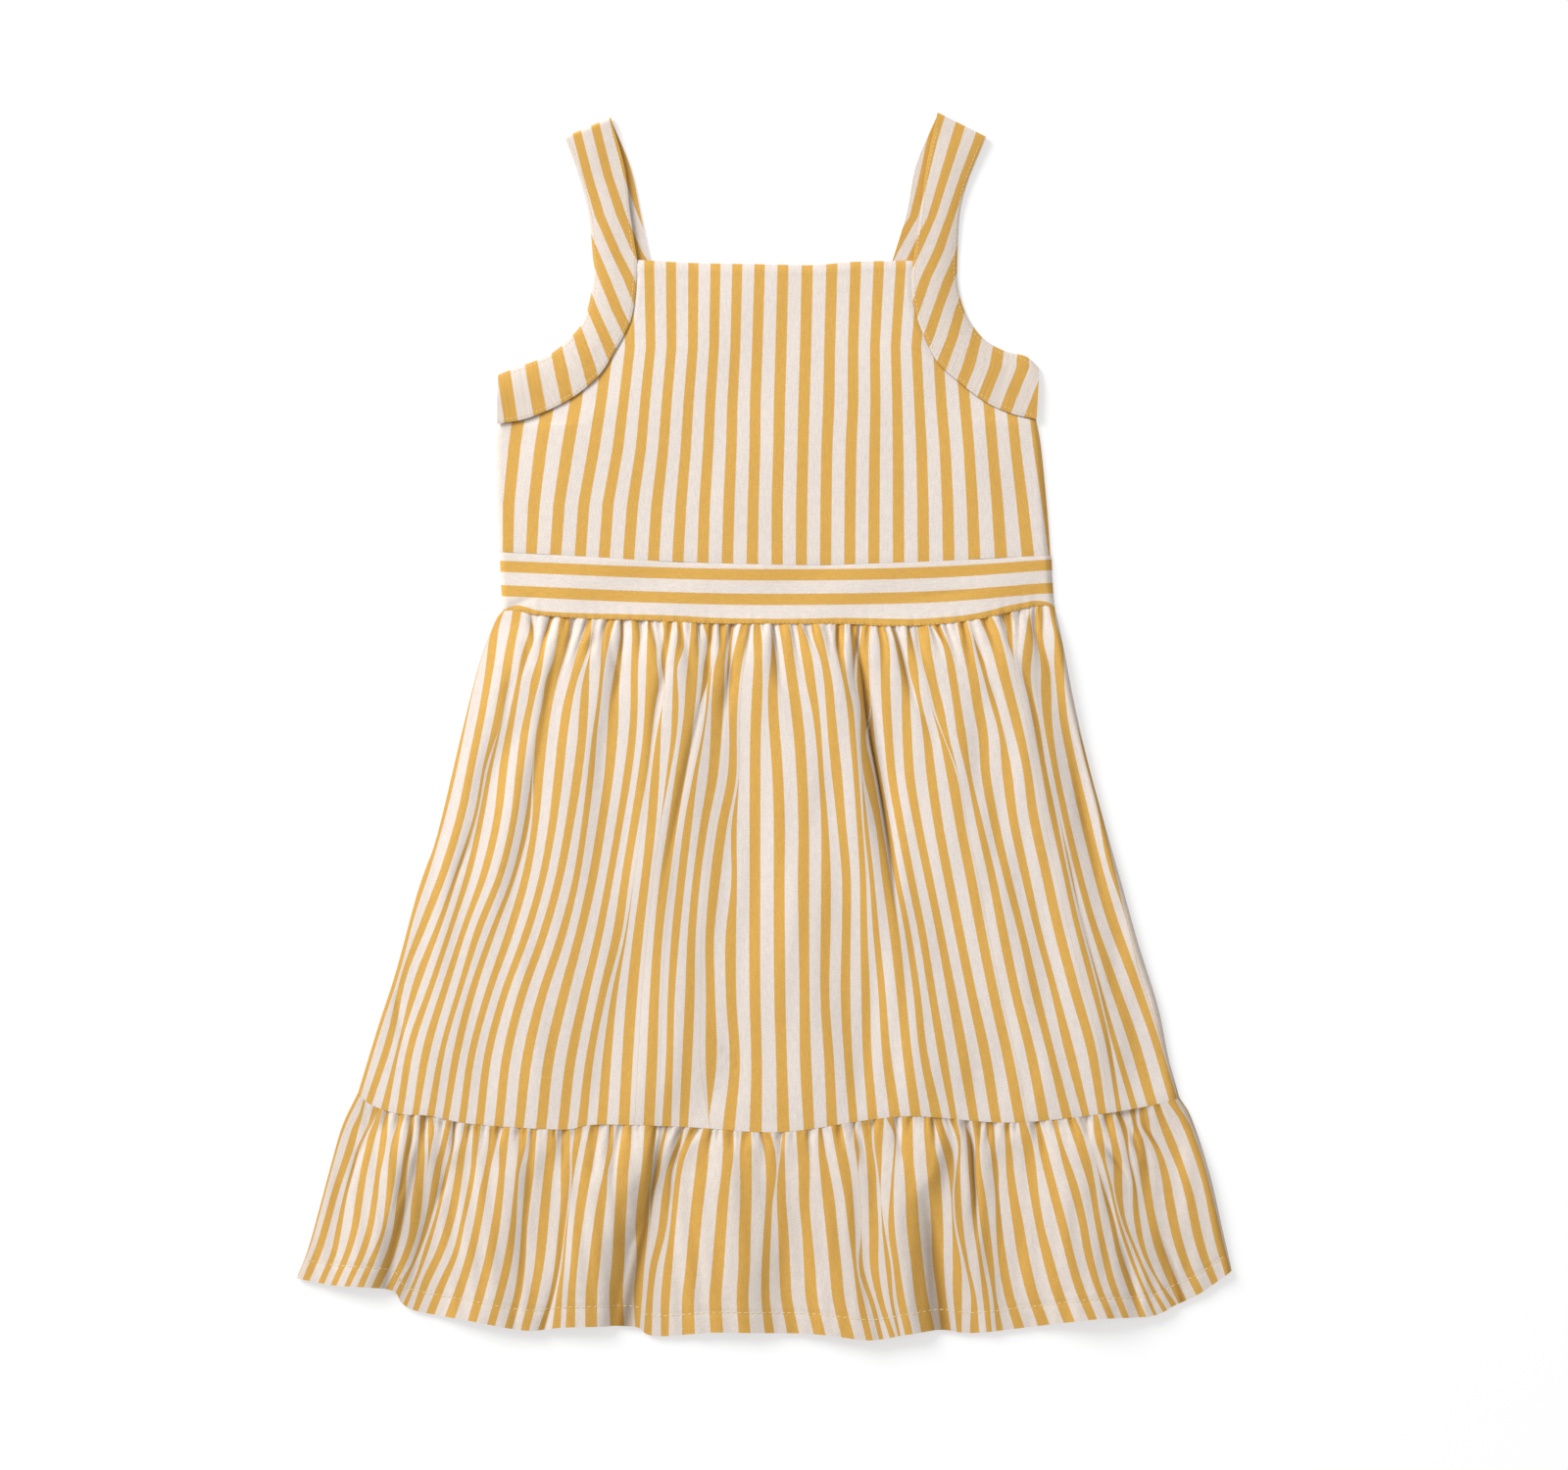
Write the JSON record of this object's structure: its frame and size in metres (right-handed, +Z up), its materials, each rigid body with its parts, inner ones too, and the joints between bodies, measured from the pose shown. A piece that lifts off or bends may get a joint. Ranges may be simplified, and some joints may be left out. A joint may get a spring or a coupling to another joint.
{
  "type": "child's sundress, laid flat",
  "caption": "Child's sleeveless sundress laid flat: square-necked bodice with wide straps, plain waistband, gathered skirt and gathered hem ruffle, in striped jersey.",
  "frame": {"origin": "on the table under the middle of the dress's box", "axes": "+Z up off the table, +Y from the hem towards the straps, +X to the right as seen from above with the straps up"},
  "size_m": [0.5062, 0.6641, 0.011],
  "materials": {
    "striped_jersey": "matt cotton jersey with lengthwise mustard and off-white stripes",
    "striped_jersey_cross": "the same cotton jersey cut across, so that the stripes run round the waist"
  },
  "bodies": {
    "root": {"bodice_front": "striped_jersey", "bodice_back": "striped_jersey", "strap_left": "striped_jersey", "strap_right": "striped_jersey", "waistband_front": "striped_jersey_cross", "waistband_back": "striped_jersey_cross", "skirt_front": "striped_jersey", "skirt_back": "striped_jersey", "ruffle_front": "striped_jersey", "ruffle_back": "striped_jersey"}
  },
  "joints": []
}
